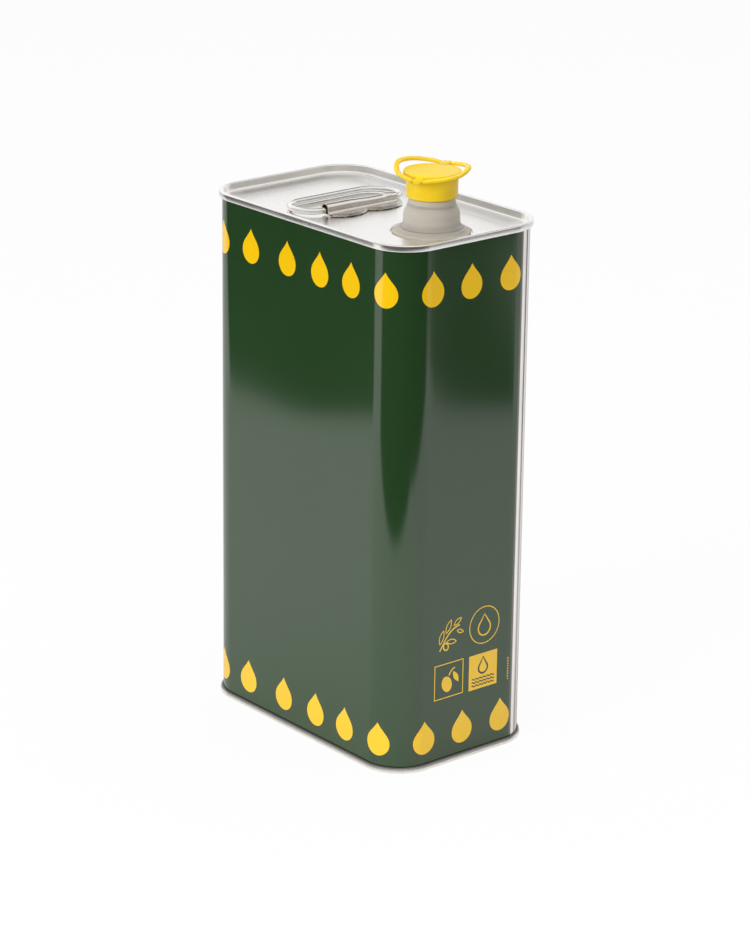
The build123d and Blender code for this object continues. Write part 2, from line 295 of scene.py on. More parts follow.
def fan(verts, faces, first, count, centre, forward=True):
    """Close a ring with triangles to its centre."""
    verts.append(centre)
    last = len(verts) - 1
    for i in range(count):
        a, b = first + i, first + (i + 1) % count
        faces.append((a, b, last) if forward else (b, a, last))


def joined(*shapes):
    """Several lists of vertices and faces as one."""
    verts, faces = [], []
    for some_verts, some_faces in shapes:
        start = len(verts)
        verts += list(some_verts)
        faces += [tuple(start + i for i in face) for face in some_faces]
    return verts, faces


def moved(matrix, shape):
    """Vertices carried by a matrix, faces as they are."""
    verts, faces = shape
    return [tuple(matrix @ Vector(v)) for v in verts], faces


def swept(rings, closed=False):
    """Skin over equal rings, with both ends closed unless the path closes."""
    verts, faces = loft(rings, loop=closed)
    if not closed:
        count = len(rings[0])
        for first, ring, forward in ((0, rings[0], False), (len(verts) - count, rings[-1], True)):
            centre = sum((Vector(p) for p in ring), Vector()) / count
            fan(verts, faces, first, count, tuple(centre), forward)
    return verts, faces


def smooth_step(value, low, high):
    """0 below low, 1 above high and a soft change between."""
    t = min(1.0, max(0.0, (value - low) / (high - low)))
    return t * t * (3 - 2 * t)


def sides_of(line, thickness):
    """Both faces of a sheet whose middle line is given, the left one first."""
    left, right = [], []
    for k, p in enumerate(line):
        way = (line[min(k + 1, len(line) - 1)] - line[max(k - 1, 0)]).normalized()
        side = Vector((-way.y, way.x)) * thickness / 2
        left.append(p + side)
        right.append(p - side)
    return left, right


def rounded_box(half_width, half_height, radius, steps=4):
    """Points of a rounded rectangle, clockwise as seen along the path it is swept on."""
    radius = min(radius, half_width * 0.98, half_height * 0.98)
    points = []
    for quarter, (sx, sy) in enumerate(((1, 1), (-1, 1), (-1, -1), (1, -1))):
        for k in range(steps + 1):
            a = math.pi / 2 * (quarter + k / steps)
            points.append((sx * (half_width - radius) + radius * math.cos(a),
                           sy * (half_height - radius) + radius * math.sin(a)))
    return points[::-1]


def feed(socket, value):
    """Set a socket to a value, or link it to a socket or a field."""
    value = getattr(value, "socket", value)
    if isinstance(value, bpy.types.NodeSocket):
        socket.id_data.links.new(value, socket)
    elif value is not None:
        socket.default_value = value


def node(tree, kind, inputs=None, **settings):
    """A node with its settings and its inputs, which are named or numbered, set beside the last one."""
    column, row = len(tree.nodes) % 8, len(tree.nodes) // 8
    made = tree.nodes.new(kind)
    made.location = (220 * column - 1600, 800 - 320 * row)
    for key, value in settings.items():
        setattr(made, key, value)
    for key, value in (inputs or {}).items():
        feed(made.inputs[key], value)
    return made


class Field:
    """A value that varies over a surface: sums and products of it become nodes."""

    def __init__(self, socket):
        self.socket, self.tree = socket, socket.id_data

    def calc(self, operation, *values):
        """A math node's result."""
        made = node(self.tree, "ShaderNodeMath", dict(enumerate(values)), operation=operation)
        return Field(made.outputs[0])

    def __add__(self, other):
        return self.calc("ADD", self, other)

    def __sub__(self, other):
        return self.calc("SUBTRACT", self, other)

    def __rsub__(self, other):
        return self.calc("SUBTRACT", other, self)

    def __mul__(self, other):
        return self.calc("MULTIPLY", self, other)

    def least(self, other):
        """The lower of two."""
        return self.calc("MINIMUM", self, other)

    def most(self, other):
        """The higher of two."""
        return self.calc("MAXIMUM", self, other)

    def along(self, direction):
        """How far a vector goes in a direction."""
        made = node(self.tree, "ShaderNodeVectorMath", {0: self, 1: direction}, operation="DOT_PRODUCT")
        return Field(made.outputs["Value"])

    def spread(self, low, high, start=0.3, end=0.7, kind="LINEAR"):
        """The value moved from start and end to low and high."""
        ends = {"Value": self, "From Min": start, "From Max": end, "To Min": low, "To Max": high}
        return Field(node(self.tree, "ShaderNodeMapRange", ends, interpolation_type=kind).outputs["Result"])

    def step(self, low, high):
        """0 below low, 1 above high and a soft change between; high below low turns it round."""
        ends = (0, 1) if low < high else (1, 0)
        return self.spread(*ends, min(low, high), max(low, high), "SMOOTHSTEP")

    def ramp(self, *stops):
        """Colour along the value, from stops of a place and a colour."""
        made = node(self.tree, "ShaderNodeValToRGB", {"Fac": self})
        bands = made.color_ramp.elements
        for band, (place, colour) in ((bands[0], stops[0]), (bands[1], stops[-1])):
            band.position, band.color = place, colour
        for place, colour in stops[1:-1]:
            bands.new(place).color = colour
        return made.outputs["Color"]

    def blend(self, first, second):
        """Colour between two, each a colour or a socket."""
        return node(self.tree, "ShaderNodeMix", {0: self, 6: first, 7: second}, data_type="RGBA").outputs[2]


def object_place(tree):
    """Object coordinates, and their X, Y and Z."""
    place = node(tree, "ShaderNodeTexCoord").outputs["Object"]
    return Field(place), [Field(s) for s in node(tree, "ShaderNodeSeparateXYZ", {0: place}).outputs]


def noise(tree, scale, detail, roughness=0.5, stretch=(1, 1, 1)):
    """Noise on object coordinates, with the pattern stretched along an axis if wanted."""
    place = node(tree, "ShaderNodeTexCoord").outputs["Object"]
    mapping = node(tree, "ShaderNodeMapping", {"Vector": place, "Scale": stretch}).outputs["Vector"]
    grain = {"Vector": mapping, "Scale": scale, "Detail": detail, "Roughness": roughness}
    return Field(node(tree, "ShaderNodeTexNoise", grain).outputs["Fac"])


def shade(colour, share):
    """The same colour, lighter or darker."""
    return (*[min(1.0, c * share) for c in colour[:3]], 1)


def grey(level, warmth=0.0):
    """A neutral colour, made warmer by a share."""
    return (level * (1 + warmth), level, level * (1 - warmth), 1)


def clouded(name, colour, shares, roughness, *cloud):
    """A new material whose colour and roughness drift with a soft cloud."""
    made = bpy.data.materials.new(name)
    made.use_nodes = True
    tree = made.node_tree
    shader = tree.nodes["Principled BSDF"]
    drift = noise(tree, *cloud)
    low, high = [shade(colour, share) for share in shares]
    feed(shader.inputs["Base Color"], drift.ramp((0.3, low), (0.7, high)))
    feed(shader.inputs["Roughness"], drift.spread(*roughness))
    return tree, shader


def relief(tree, shader, height, strength, distance):
    """Bump from a value, over the bump that is there already."""
    normal = shader.inputs["Normal"]
    before = normal.links[0].from_socket if normal.is_linked else None
    bump = {"Height": height, "Strength": strength, "Distance": distance, "Normal": before}
    feed(normal, node(tree, "ShaderNodeBump", bump).outputs["Normal"])


def multiply_colour(tree, shader, colour):
    """Multiply the shader's colour by another."""
    clean = shader.inputs["Base Color"].links[0].from_socket
    parts = {0: 1.0, 6: clean, 7: colour}
    mix = node(tree, "ShaderNodeMix", parts, data_type="RGBA", blend_type="MULTIPLY")
    feed(shader.inputs["Base Color"], mix.outputs[2])


def lacquer_finish(name, colour, roughness=(0.085, 0.125)):
    """Printed gloss lacquer with faint orange peel and a sheet that isn't quite flat."""
    tree, shader = clouded(name, colour, (0.93, 1.06), roughness, 9, 2)
    relief(tree, shader, noise(tree, 7, 1, 0.4, (1, 1, 0.55)), 1.0, 0.0010)
    relief(tree, shader, noise(tree, 900, 2), 0.05, 0.00005)
    shader.inputs["IOR"].default_value = 1.7


def metal_finish(name, colour, roughness, grain, wave=0.0):
    """Tinplate: fine rolled grain, soft cloudy patches and small scuffs."""
    tree, shader = clouded(name, colour, (0.93, 1.04), roughness, 22, 3, 0.55)
    relief(tree, shader, noise(tree, 1400, 2, 0.5, grain), 0.08, 0.00003)
    if wave:
        relief(tree, shader, noise(tree, 14, 1, 0.4), 1.0, wave)
    shader.inputs["Metallic"].default_value = 1.0
    return tree, shader


def plastic_finish(name, colour, roughness, glow, reach=(0.003, 0.002, 0.0008)):
    """Moulded polyethylene: soft light inside it and a faint mould texture."""
    tree, shader = clouded(name, colour, (0.95, 1.04), roughness, 60, 3)
    relief(tree, shader, noise(tree, 1600, 2, 0.6), 0.12, 0.00004)
    shader.inputs["Subsurface Weight"].default_value = glow
    shader.inputs["Subsurface Radius"].default_value = reach
    shader.inputs["Subsurface Scale"].default_value = 1.0
    shader.inputs["IOR"].default_value = 1.5
    return tree, shader


def end_finish(colour):
    """Bright tinplate of the ends, with painted shade on the upper part of the lower seam, where it meets the
    body.
    """
    tree, shader = metal_finish("bright tinplate", colour, (0.23, 0.30), (1, 0.05, 1), 0.00010)
    z = object_place(tree)[1][2]
    # Painted shade: the lower seam turns dark grey from about 1.9 mm up, where shade falls next to the body.
    painted_seam_shade = z.step(1.9 * mm, 3.0 * mm) * z.step(20 * mm, 10 * mm)
    clean = shader.inputs["Base Color"].links[0].from_socket
    feed(shader.inputs["Base Color"], painted_seam_shade.blend(clean, grey(0.16, 0.04)))


def strip_finish(colour):
    """Bare tinplate of the side seam, with painted reflections and painted shade in upright bands on both
    sides of the weld.
    """
    tree, shader = metal_finish("bare side strip", colour, (0.14, 0.22), (1, 1, 0.04))
    size = bpy.context.scene.tin_sizes
    x, y, _ = object_place(tree)[1]
    x, y = x - (size.length / 2 - size.corner), y - (size.depth / 2 - size.corner)
    share = x.calc("ARCTAN2", y, x).spread(0.0, 1.0, math.radians(9), math.radians(50))
    # Painted reflections and shade: light and dark upright bands, set by the angle round the back corner.
    bands = ((0.12, 0.20), (0.17, 1.0), (0.33, 0.98), (0.37, 0.52), (0.46, 0.46), (0.50, 0.97),
             (0.60, 0.95), (0.68, 0.50))
    stops = [(place, (level, level * 0.985, level * 0.97, 1)) for place, level in bands]
    first, last = (0.0, (0.20, 0.195, 0.19, 1)), (1.0, (0.55, 0.54, 0.53, 1))
    multiply_colour(tree, shader, share.ramp(first, *stops, last))


def milky_finish(colour):
    """Soft milky plastic: light passes into it, and painted shade greys it towards the foot, where it sits in
    the top.
    """
    tree, shader = plastic_finish("milky spout", colour, (0.34, 0.46), 0.8, (0.006, 0.0058, 0.0052))
    # Painted shade: the plastic is darker low down, where the dark hole behind it shows through, and lightens
    # up to about 305 mm.
    rise = object_place(tree)[1][2].spread(0.0, 1.0, 299.4 * mm, 305.5 * mm)
    stops = ((0.0, (0.84, 0.85, 0.87, 1)), (0.30, (0.66, 0.67, 0.70, 1)), (1.0, (1, 1, 1, 1)))
    multiply_colour(tree, shader, rise.ramp(*stops))


def finishes():
    """Every finish, made once."""
    if "milky spout" not in bpy.data.materials:
        colours = bpy.context.scene.tin_colours
        milky_finish(colours.spout)
        lacquer_finish("green lacquer", colours.lacquer)
        lacquer_finish("yellow print", colours.drops, (0.12, 0.17))
        lacquer_finish("dark print", shade(colours.lacquer, 0.8), (0.12, 0.17))
        end_finish(colours.tinplate)
        strip_finish(colours.tinplate)
        metal_finish("tinned wire", shade(colours.tinplate, 0.9), (0.2, 0.28), (1, 1, 1))
        metal_finish("rolled bracket", (0.86, 0.82, 0.78, 1), (0.18, 0.28), (1, 0.05, 1), 0.00012)
        plastic_finish("yellow cap plastic", colours.cap, (0.34, 0.46), 0.35, (0.0012, 0.0009, 0.0004))
        plastic_finish("liner foam", (0.86, 0.86, 0.83, 1), (0.6, 0.75), 0.1)
        plastic_finish("sealing compound", (0.30, 0.28, 0.26, 1), (0.7, 0.8), 0.0)
    return bpy.data.materials


class TIN_OT_cad_finishes(bpy.types.Operator):
    """Give the modelled parts that stay their finishes."""

    bl_idname = "tin.cad_finishes"
    bl_label = "Finish the modelled parts"

    def execute(self, context):
        wear = {
            "top_seam_compound": "sealing compound",
            "bottom_seam_compound": "sealing compound",
            "spout_neck": "milky spout",
            "cap_liner": "liner foam",
            "bracket_spot_welds": "rolled bracket",
        }
        for name, finish in wear.items():
            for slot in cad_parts[name].material_slots:
                slot.material = finishes()[finish]
        return {"FINISHED"}


def seam_profile(size, skirt=0):
    """Section of a seam and of the wall inside it, as (out, rise), from under the seam to the panel."""
    tall, reach, inset, sink = size.seam_height + skirt, size.seam_reach, size.chuck_inset, size.countersink
    sink -= size.fall if skirt else 0
    points = [
        (0.12 * mm, -0.8 * mm), (0.12 * mm, -tall), (reach - 0.2 * mm, -tall), (reach, -0.5 * tall),
        (reach, 0), (-inset, 0), (-inset, -sink - 0.15 * mm), (-inset - 1.3 * mm, -sink - 0.15 * mm),
        (-inset - 2.1 * mm, -sink), (-inset - 2.6 * mm, -sink),
    ]
    return rounded(points, [r * mm for r in (0.05, 0.8, 2.5, 0.75, 0.75, 0.65, 1.5, 1.0)], 7)


def under_profile(size):
    """The hidden side of the same sheet, from the panel back to the body's hook."""
    inset, sink = size.chuck_inset - end_sheet, size.countersink + end_sheet
    points = [
        (-size.chuck_inset - 2.6 * mm, -sink), (-size.chuck_inset - 2.1 * mm, -sink),
        (-inset - 1.3 * mm, -sink - 0.15 * mm), (-inset, -sink - 0.15 * mm), (-inset, -0.5 * mm),
        (0.12 * mm, -0.5 * mm),
    ]
    return rounded(points, [0.5 * mm, 0.5 * mm, 0.9 * mm, 0.2 * mm], 4)


class TIN_OT_top(bpy.types.Operator):
    """Make the top: its seam, sunken panel, round recess and collared hole."""

    bl_idname = "tin.top"
    bl_label = "Make the top"

    def execute(self, context):
        size, spout = context.scene.tin_sizes, context.scene.tin_spout
        places = stations(size)
        turns = [math.atan2(p.y, p.x - spout.place) for p, _ in places]
        panel = size.height - size.countersink
        outer = [(out, size.height + rise) for out, rise in seam_profile(size, size.skirt)]
        edge = outer[-1][0]
        outer += [(edge - 9 * mm * k / 10, panel + size.fall * (1 - k / 10) ** 1.6) for k in range(1, 11)]
        rings = rings_round(places, outer)
        rings += self.panel_rings(rings[-1], spout, turns, panel)
        floor = panel - spout.recess_depth
        wall = collar_radius + end_sheet
        lip, rim = wall + 0.7 * mm, spout.recess + 1.5 * mm
        crown = floor + collar_rise
        line = [
            (rim, panel), (spout.recess, panel), (spout.recess, floor), (wall, floor),
            (wall, crown - end_sheet), (lip, crown - end_sheet),
        ]
        soft = [0.55 * mm, 0.45 * mm, 0.4 * mm, 0.3 * mm]
        rings += rings_turned(rounded(line, soft)[1:], spout.place, turns)
        back = [
            (lip, crown), (wall - end_sheet, crown), (wall - end_sheet, floor - end_sheet),
            (spout.recess + end_sheet, floor - end_sheet), (spout.recess + end_sheet, panel - end_sheet),
            (rim, panel - end_sheet),
        ]
        soft = [0.6 * mm, 0.5 * mm, 0.5 * mm, 0.3 * mm]
        under = rings_turned(rounded(back, soft), spout.place, turns)
        hidden = rings_round(places, [(out, size.height + rise) for out, rise in under_profile(size)])
        under += self.panel_rings(hidden[0], spout, turns, panel - end_sheet)[::-1][1:]
        top = put("top_panel", loft(rings + under + hidden, loop=True), "bright tinplate", sharp_angle=50)
        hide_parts("top_end")
        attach(top, "tin")
        return {"FINISHED"}

    def panel_rings(self, edge, spout, turns, height, steps=22):
        """Rings that change from the panel's rounded rectangle to the circle of the recess."""
        circle = rings_turned([(spout.recess + 1.5 * mm, height)], spout.place, turns)[0]
        return [
            [tuple(Vector(a).lerp(Vector(b), k / steps)) for a, b in zip(edge, circle)]
            for k in range(1, steps + 1)
        ]


class TIN_OT_bottom(bpy.types.Operator):
    """Make the bottom: its seam and its plain sunken panel."""

    bl_idname = "tin.bottom"
    bl_label = "Make the bottom"

    def execute(self, context):
        size = context.scene.tin_sizes
        places = stations(size)
        count, sink = len(places), size.countersink
        rings = rings_round(places, [self.tucked(out, -rise) for out, rise in seam_profile(size)])
        rings += self.panel_rings(rings[-1], sink)
        hidden = rings_round(places, [(out, -rise) for out, rise in under_profile(size)])
        verts, faces = loft(rings[::-1])
        fan(verts, faces, 0, count, (0, 0, sink), forward=False)
        other, other_faces = loft(hidden[::-1] + self.panel_rings(hidden[0], sink + end_sheet))
        fan(other, other_faces, len(other) - count, count, (0, 0, sink + end_sheet))
        verts, faces = joined((verts, faces), (other, other_faces))
        first, second = (len(rings) - 1) * count, len(rings) * count + 1
        for i in range(count):
            j = (i + 1) % count
            faces.append((first + i, first + j, second + j, second + i))
        bottom = put("bottom_panel", (verts, faces), "bright tinplate", sharp_angle=50)
        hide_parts("bottom_end")
        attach(bottom, "tin")
        return {"FINISHED"}

    def tucked(self, out, rise):
        """The seam's outer face leans in towards the body."""
        lean = 0.30 * smooth_step(rise, 1.1 * mm, 3.2 * mm) if out > 0.12 * mm else 0
        return 0.12 * mm + (out - 0.12 * mm) * (1 - lean), rise

    def panel_rings(self, edge, height):
        """Rings that shrink to the middle."""
        return [[(x * (1 - k / 26), y * (1 - k / 26), height) for x, y, _ in edge] for k in range(1, 25)]


class TIN_OT_body(bpy.types.Operator):
    """Make the body's wall and the bare strip with its welded lap."""

    bl_idname = "tin.body"
    bl_label = "Make the body"

    def execute(self, context):
        size = context.scene.tin_sizes
        hidden, edge = size.seam_height / 2, size.seam_height + 1 * mm
        middle = size.height - 2 * edge
        levels = [hidden] + [edge + middle * k / 24 for k in range(24)]
        levels += [size.height - edge, size.height - hidden]
        profile = [(0, z) for z in levels] + [(-size.sheet, z) for z in reversed(levels)]
        rings = rings_round(stations(size), profile)
        wall = put("body_wall", loft(rings, loop=True), "green lacquer", sharp_angle=40)
        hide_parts("body_shell")
        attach(wall, "tin")
        strip = put("bare_strip", self.strip(context), "bare side strip", sharp_angle=50)
        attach(strip, "tin")
        return {"FINISHED"}

    def strip(self, context):
        """The bare strip: two margins and the weld's low ridge, wrapped round the back corner."""
        size, marks = context.scene.tin_sizes, context.scene.tin_print
        start = size.length / 2 - size.corner + math.pi / 2 * size.corner + size.depth - 2 * size.corner
        middle = weld_turn * size.corner
        lap, ridge, foot, step = 0.6 * mm, 0.20 * mm, 0.03 * mm, 0.05 * mm
        low, high = marks.strip_start, marks.strip_end
        near, far = middle - lap, middle + lap
        section = [(low, -step), (low + step, foot)]
        section += [(low + (near - low) * k / 12, foot) for k in range(1, 12)]
        section += [(near - step, foot), (near, ridge * 0.85), (middle - lap * 0.6, ridge)]
        section += [(middle + lap * 0.6, ridge), (far, ridge * 0.85), (far + step, foot)]
        section += [(far + (high - far) * k / 12, foot) for k in range(1, 12)]
        section += [(high - step, foot), (high, -step)]
        places = [along_outline(size, start + s) for s, _ in section]
        bottom, top = size.seam_height - 0.4 * mm, size.height - size.seam_height + 0.4 * mm
        rows = []
        for k in range(41):
            z = bottom + (top - bottom) * k / 40
            rows.append([(p.x + n.x * out, p.y + n.y * out, z) for (p, n), (_, out) in zip(places, section)])
        return loft(rows, closed=False)


def drop_sheet(height, radius, rise, across=16):
    """One drop as a thin plate with its back left open, drawn across X and up Z."""
    long = height - radius
    edge = []
    for k in range(21):
        turn = math.pi / 2 * (k / 20 - 1)
        edge.append((radius * math.cos(turn), radius * (1 + math.sin(turn))))
    tip, pull = math.radians(29), 0.45 * long
    bend = [
        (radius, radius), (radius, radius + 0.42 * long),
        (pull * math.sin(tip), height - pull * math.cos(tip)), (0, height),
    ]
    for k in range(1, 29):
        t = k / 28
        shares = ((1 - t) ** 3, 3 * t * (1 - t) ** 2, 3 * t * t * (1 - t), t ** 3)
        edge.append(tuple(sum(s * p[axis] for s, p in zip(shares, bend)) for axis in (0, 1)))
    rows = [[(x * (2 * k / across - 1), -rise, z) for k in range(across + 1)] for x, z in edge]
    verts = [v for row in rows for v in row]
    faces = []
    for k in range(len(edge) - 1):
        for i in range(across):
            a, b = k * (across + 1) + i, (k + 1) * (across + 1) + i
            faces.append((a, a + 1, b + 1, b))
    for i in (0, across):
        base = len(verts)
        verts += [(row[i][0], rise, row[i][2]) for row in rows]
        for k in range(len(edge) - 1):
            a, b = k * (across + 1) + i, (k + 1) * (across + 1) + i
            side = (a, b, base + k + 1, base + k)
            faces.append(side if i else side[::-1])
    return verts, faces


def row_tree(name):
    """Geometry Nodes: a shape on each given place along the outline, wrapped round the body."""
    tree = bpy.data.node_groups.new(name, "GeometryNodeTree")
    for label, kind in (
        ("Places", "Geometry"), ("Length", "Float"), ("Depth", "Float"), ("Corner radius", "Float"),
        ("Corner steps", "Int"), ("Shape", "Object"), ("Finish", "Material"),
    ):
        socket = tree.interface.new_socket(label, in_out="INPUT", socket_type=f"NodeSocket{kind}")
        if kind == "Float":
            socket.subtype = "DISTANCE"
    tree.interface.new_socket("Row", in_out="OUTPUT", socket_type="NodeSocketGeometry")

    def made(kind, output, inputs=None, **settings):
        return node(tree, kind, inputs, **settings).outputs[output]

    def vector(operation, first, second=None, **settings):
        return made("ShaderNodeVectorMath", "Vector", {0: first, 1: second}, operation=operation)

    given = node(tree, "NodeGroupInput").outputs
    sides = {"Width": given["Length"], "Height": given["Depth"]}
    outline = made("GeometryNodeCurvePrimitiveQuadrilateral", "Curve", sides)
    corners = {"Curve": outline, "Radius": given["Corner radius"], "Count": given["Corner steps"]}
    outline = made("GeometryNodeFilletCurve", "Curve", corners, mode="POLY")
    shape = made("GeometryNodeObjectInfo", "Geometry", {"Object": given["Shape"]})
    copies = {"Points": given["Places"], "Instance": shape}
    copies = made("GeometryNodeInstanceOnPoints", "Instances", copies)
    real = made("GeometryNodeRealizeInstances", "Geometry", {"Geometry": copies})
    place = node(tree, "GeometryNodeInputPosition").outputs["Position"]
    x, y, z = [Field(s) for s in node(tree, "ShaderNodeSeparateXYZ", {0: place}).outputs]
    whole = made("GeometryNodeCurveLength", "Length", {"Curve": outline})
    spot = {"Curves": outline, "Length": x.calc("WRAP", x, whole, 0.0)}
    spot = node(tree, "GeometryNodeSampleCurve", spot, mode="LENGTH").outputs
    outward = vector("NORMALIZE", vector("CROSS_PRODUCT", spot["Tangent"], (0, 0, 1)))
    stand = {0: outward, "Scale": y * -1.0}
    stand = made("ShaderNodeVectorMath", "Vector", stand, operation="SCALE")
    height = made("ShaderNodeCombineXYZ", "Vector", {"Z": z})
    wrapped = {"Geometry": real, "Position": vector("ADD", vector("ADD", spot["Position"], stand), height)}
    wrapped = made("GeometryNodeSetPosition", "Geometry", wrapped)
    painted = {"Geometry": wrapped, "Material": given["Finish"]}
    node(tree, "NodeGroupOutput", {"Row": made("GeometryNodeSetMaterial", "Geometry", painted)})
    return tree


class TIN_OT_drops(bpy.types.Operator):
    """Print a row of drops near each end."""

    bl_idname = "tin.drops"
    bl_label = "Print the drops"

    def execute(self, context):
        size, marks = context.scene.tin_sizes, context.scene.tin_print
        shape = put("drop_shape", drop_sheet(marks.drop_height, marks.drop_radius, marks.ink))
        run_x, run_y = size.length / 2 - size.corner, size.depth / 2 - size.corner
        around = 4 * (run_x + run_y) + 2 * math.pi * size.corner
        start = run_x + math.pi / 2 * size.corner + 2 * run_y
        hidden = [181.7 + 28.6 * k for k in range(9)]
        upper = [-71.1, -44.0, -11.35, 17.2, 44.0, 71.1, 98.9, 125.9, 153.9] + hidden
        lower = [-71.7, -46.1, -13.05, 16.0, 42.1, 69.9, 98.0, 125.6, 153.9] + hidden
        tree = row_tree("drops along the body")
        sockets = {item.name: item.identifier for item in tree.interface.items_tree}
        given = {
            "Shape": shape, "Finish": finishes()["yellow print"], "Length": size.length,
            "Depth": size.depth, "Corner radius": size.corner, "Corner steps": 96,
        }
        for name, places, foot in (
            ("upper_drops", upper, marks.upper_row), ("lower_drops", lower, marks.lower_row)
        ):
            # The sampled outline starts where the narrow face meets its back corner.
            row = put(name, ([((s * mm - start) % around, 0, foot) for s in places], []))
            nodes = row.modifiers.new("row", "NODES")
            nodes.node_group = tree
            for label, value in given.items():
                nodes[sockets[label]] = value
            bpy.context.view_layer.update()
            result = bpy.data.meshes.new_from_object(row.evaluated_get(context.evaluated_depsgraph_get()))
            row.modifiers.clear()
            row.data = result
            result.shade_smooth()
            result.set_sharp_from_angle(angle=math.radians(40))
            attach(row, "tin")
        bpy.data.objects.remove(shape)
        return {"FINISHED"}


def flat_plate(shapes, face, ink):
    """Thin closed plates printed on the narrow face; a shape is a list of (across, up) in millimetres."""
    verts, faces = [], []
    for shape in shapes:
        first, count = len(verts), len(shape)
        for x in (face + ink, face - ink):
            verts += [(x, y * mm, z * mm) for y, z in shape]
        faces.append(tuple(first + i for i in range(count)))
        faces.append(tuple(first + count + i for i in reversed(range(count))))
        for i in range(count):
            j = (i + 1) % count
            faces.append((first + i, first + count + i, first + count + j, first + j))
    return verts, faces


def strokes(line, width, closed=False):
    """Short plates along a line, each a quadrilateral of the given width."""
    points = [Vector(p) for p in line]
    count = len(points)
    sides = []
    for k, p in enumerate(points):
        before = points[k - 1] if closed or k else p
        after = points[(k + 1) % count] if closed or k < count - 1 else p
        way = (after - before).normalized()
        sides.append(Vector((-way.y, way.x)) * width / 2)
    shapes = []
    for k in range(count if closed else count - 1):
        j = (k + 1) % count
        shapes.append([points[k] - sides[k], points[j] - sides[j], points[j] + sides[j], points[k] + sides[k]])
    return shapes


def leant(centre, points, lean):
    """Points turned by an angle and moved to a centre."""
    c, s = math.cos(lean), math.sin(lean)
    return [(centre[0] + x * c - y * s, centre[1] + x * s + y * c) for x, y in points]


def oval(centre, across, up, lean=0.0, steps=28):
    """Points of an ellipse, counter-clockwise."""
    return leant(centre, [(across * math.cos(a), up * math.sin(a)) for a in even_turns(steps)], lean)


def leaf(centre, length, width, lean, steps=12):
    """Points of a leaf with two pointed ends, counter-clockwise."""
    edge = [
        ((k / steps - 0.5) * length * -way, way * width / 2 * math.sin(math.pi * k / steps))
        for way in (-1, 1) for k in range(steps)
    ]
    return leant(centre, edge, lean)


def drop_outline(foot, height, radius, steps=28):
    """Points of a standing drop, counter-clockwise."""
    lean = math.asin(radius / (height - radius))
    turns = [-math.pi - lean + (math.pi + 2 * lean) * k / steps for k in range(steps + 1)]
    points = [(foot[0] + radius * math.cos(a), foot[1] + radius + radius * math.sin(a)) for a in turns]
    return points + [(foot[0], foot[1] + height)]


def bar(left, low, right, high):
    """Corners of an upright rectangle."""
    return [(left, low), (right, low), (right, high), (left, high)]


class TIN_OT_marks(bpy.types.Operator):
    """Print small plain pictures low on the narrow face: a sprig, a drop, an olive and a plain stamp."""

    bl_idname = "tin.marks"
    bl_label = "Print the small marks"

    def execute(self, context):
        face, ink = context.scene.tin_sizes.length / 2, context.scene.tin_print.ink
        shapes = self.sprig() + self.ringed_drop() + self.framed_olive()
        shapes += [bar(31.25, 39.0 + 1.55 * k, 32.15, 39.8 + 1.55 * k) for k in range(9)]
        stamp = [bar(2.5, 38.8, 23.4, 59.7)]
        dark = strokes(drop_outline((12.95, 47.6), 9.8, 3.3), 1.1, True)
        for row in range(3):
            wave = [
                (4.7 + 16.6 * k / 36, 41.0 + 2.0 * row + 0.45 * math.sin(k * math.pi / 3))
                for k in range(37)
            ]
            dark += strokes(wave, 0.7)
        for name, plates, height, finish in (
            ("small_marks", shapes, ink, "yellow print"), ("stamp_ground", stamp, ink, "yellow print"),
            ("stamp_print", dark, 1.9 * ink, "dark print"),
        ):
            piece = put(name, flat_plate(plates, face, height), finish, smooth=False)
            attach(piece, "tin")
        return {"FINISHED"}

    def sprig(self):
        """A bent stem with five leaves and a bud."""
        stem = [
            (-19.5 + 14.5 * k / 14, 68.3 + 12.6 * k / 14 + 3.2 * math.sin(math.pi * k / 14))
            for k in range(15)
        ]
        shapes = strokes(stem, 0.85)
        for y, z, long, wide, lean in (
            (-18.2, 76.2, 8.4, 3.0, 1.25), (-13.2, 81.6, 8.4, 3.0, 1.1), (-6.6, 83.2, 6.6, 2.5, 0.55),
            (-10.9, 72.3, 7.4, 2.8, -0.15), (-4.6, 77.1, 5.0, 2.0, -0.35),
        ):
            shapes += strokes(leaf((y, z), long, wide, lean), 0.55, True)
        return shapes + strokes(oval((-15.0, 70.1), 1.7, 2.2, 0.4), 0.85, True)

    def ringed_drop(self):
        """A drop in a ring."""
        ring = strokes(oval((13.3, 76.5), 10.9, 10.9, steps=72), 0.55, True)
        return ring + strokes(drop_outline((13.3, 70.4), 12.6, 4.5), 0.85, True)

    def framed_olive(self):
        """An olive with its twig and leaf in a square frame."""
        left, low, right, high = -22.7, 39.5, -2.0, 59.8
        half = 0.55 / 2
        shapes = [bar(left - half, z - half, right + half, z + half) for z in (low, high)]
        shapes += [bar(y - half, low + half, y + half, high - half) for y in (left, right)]
        shapes.append(oval((-13.8, 47.4), 3.6, 4.9, 0.35))
        shapes += strokes([(-12.2, 52.2), (-11.4, 54.0), (-10.0, 55.4), (-8.0, 56.2)], 0.85)
        return shapes + [leaf((-7.2, 50.6), 8.2, 3.2, -1.05)]


